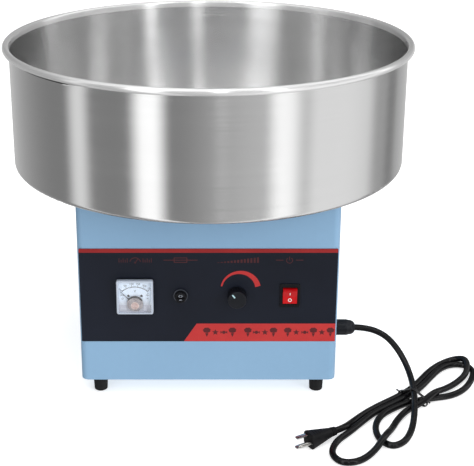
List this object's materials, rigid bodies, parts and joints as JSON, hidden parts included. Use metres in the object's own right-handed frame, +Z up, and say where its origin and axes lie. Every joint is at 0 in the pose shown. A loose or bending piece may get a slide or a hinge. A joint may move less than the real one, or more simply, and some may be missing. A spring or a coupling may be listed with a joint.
{
  "type": "cotton candy machine",
  "caption": "Tabletop cotton candy machine: wide round steel bowl with a spinning heated head on a square painted housing with a meter, fuse, heat knob, rocker switch and tied mains lead.",
  "frame": {"origin": "on the floor, straight below the axis of the bowl and the spinner, at the foot bottoms", "axes": "+Z up, along the spinner's axis; -Y is the front with the control panel; +X is the side of the cable gland"},
  "size_m": [0.6256, 0.5762, 0.43],
  "materials": {
    "blue_paint": "pale blue semi-gloss powder coat on steel sheet",
    "zinc_steel": "zinc plated steel",
    "black_rubber": "moulded black rubber",
    "panel_black": null,
    "black_plastic": "moulded black plastic",
    "clear_plastic": "clear polystyrene meter cover",
    "dial_white": "white printed dial",
    "magnet_grey": "sintered magnet",
    "needle_dark": "black painted aluminium needle",
    "brass": "machined brass",
    "gloss_black": "glossy moulded black plastic",
    "glass_tube": "fuse glass with plated caps",
    "pointer_cyan": "pale inlay",
    "rocker_red": "glossy red plastic with white marks",
    "nickel": "nickel plated brass",
    "cord_black": "black rubber sheathed cable",
    "plug_black": "moulded soft black plug",
    "bowl_steel": "circumferentially brushed stainless steel",
    "stainless": "stainless steel sheet",
    "cast_alu": "die-cast aluminium",
    "bearing_steel": "ground bearing steel",
    "laminated_steel": "laminated electrical steel",
    "copper": "enamelled copper",
    "bakelite": "brown phenolic",
    "carbon": "carbon",
    "spun_aluminium": "turned aluminium",
    "nichrome": "oxidised resistance ribbon",
    "circuit_board": "green circuit board",
    "white_nylon": "white nylon",
    "wire_insulation": "insulated wire"
  },
  "bodies": {
    "root": {"housing_shell": "blue_paint", "rear_panel": "blue_paint", "top_plate": "blue_paint", "base_plate": "blue_paint", "housing_screws": "zinc_steel", "rubber_feet": "black_rubber", "foot_screws": "zinc_steel", "panel_overlay": "panel_black", "meter_case": "black_plastic", "meter_cover": "clear_plastic", "meter_dial": "dial_white", "meter_dial_screws": "zinc_steel", "meter_movement": "magnet_grey", "rear_terminals": "brass", "fuse_holder_body": "black_plastic", "potentiometer_body": "black_plastic", "switch_body": "gloss_black", "panel_nuts": "nickel", "gland_body": "black_plastic", "gland_dome_nut": "black_plastic", "power_cord": "cord_black", "cord_hank": "cord_black", "cord_tie": "black_plastic", "plug_body": "plug_black", "plug_pins": "nickel", "bowl_locating_ring": "stainless", "bowl_seat_gasket": "black_rubber", "motor_bracket": "zinc_steel", "motor_can": "zinc_steel", "motor_end_bells": "cast_alu", "motor_bearings": "bearing_steel", "stator_core": "laminated_steel", "stator_windings": "copper", "brush_holder": "bakelite", "brush_springs": "zinc_steel", "control_board": "circuit_board", "terminal_block": "white_nylon", "internal_wires": "wire_insulation"},
    "bowl": {"bowl_wall": "bowl_steel", "bowl_floor": "stainless", "bowl_hub_lip": "stainless"},
    "spinner": {"motor_shaft": "bearing_steel", "motor_rotor": "laminated_steel", "cooling_fan": "black_plastic", "slip_ring_hub": "bakelite", "slip_rings": "brass", "head_base": "spun_aluminium", "head_band": "stainless", "head_lid": "spun_aluminium", "sugar_cup": "spun_aluminium", "heating_element": "nichrome", "head_fasteners": "zinc_steel"},
    "knob": {"temperature_knob": "black_plastic", "knob_pointer": "pointer_cyan", "potentiometer_shaft": "zinc_steel"},
    "rocker": {"switch_rocker": "rocker_red"},
    "fuse_carrier": {"fuse_cap": "gloss_black", "fuse_cartridge": "glass_tube"},
    "needle": {"meter_needle": "needle_dark"},
    "brush_pair": {"brushes": "carbon"}
  },
  "joints": [
    {"name": "bowl_lift", "type": "slide", "parent": "root", "child": "bowl", "axis": [0, 0, 1], "range_m": [0, 0.18]},
    {"name": "spinner_turn", "type": "hinge", "parent": "root", "child": "spinner", "pos_m": [0, 0, 0.3], "axis": [0, 0, 1], "continuous": true},
    {"name": "heat_knob_turn", "type": "hinge", "parent": "root", "child": "knob", "pos_m": [0.035, -0.1556, 0.1415], "axis": [0, 1, 0], "range_deg": [-111, 189]},
    {"name": "power_rocker", "type": "hinge", "parent": "root", "child": "rocker", "pos_m": [0.1, -0.1542, 0.1415], "axis": [-1, 0, 0], "range_deg": [0, 24]},
    {"name": "fuse_pull", "type": "slide", "parent": "root", "child": "fuse_carrier", "axis": [0, -1, 0], "range_m": [0, 0.045]},
    {"name": "meter_needle_swing", "type": "hinge", "parent": "root", "child": "needle", "pos_m": [-0.09, -0.1556, 0.131], "axis": [0, 1, 0], "range_deg": [0, 90], "stiffness_Nm_per_rad": 0.0005, "springref_deg": -5.73},
    {"name": "brush_press", "type": "slide", "parent": "root", "child": "brush_pair", "axis": [0, 0, -1], "range_m": [0, 0.0015], "stiffness_N_per_m": 300, "springref_m": -0.002, "deforming": ["brush_springs"]}
  ]
}
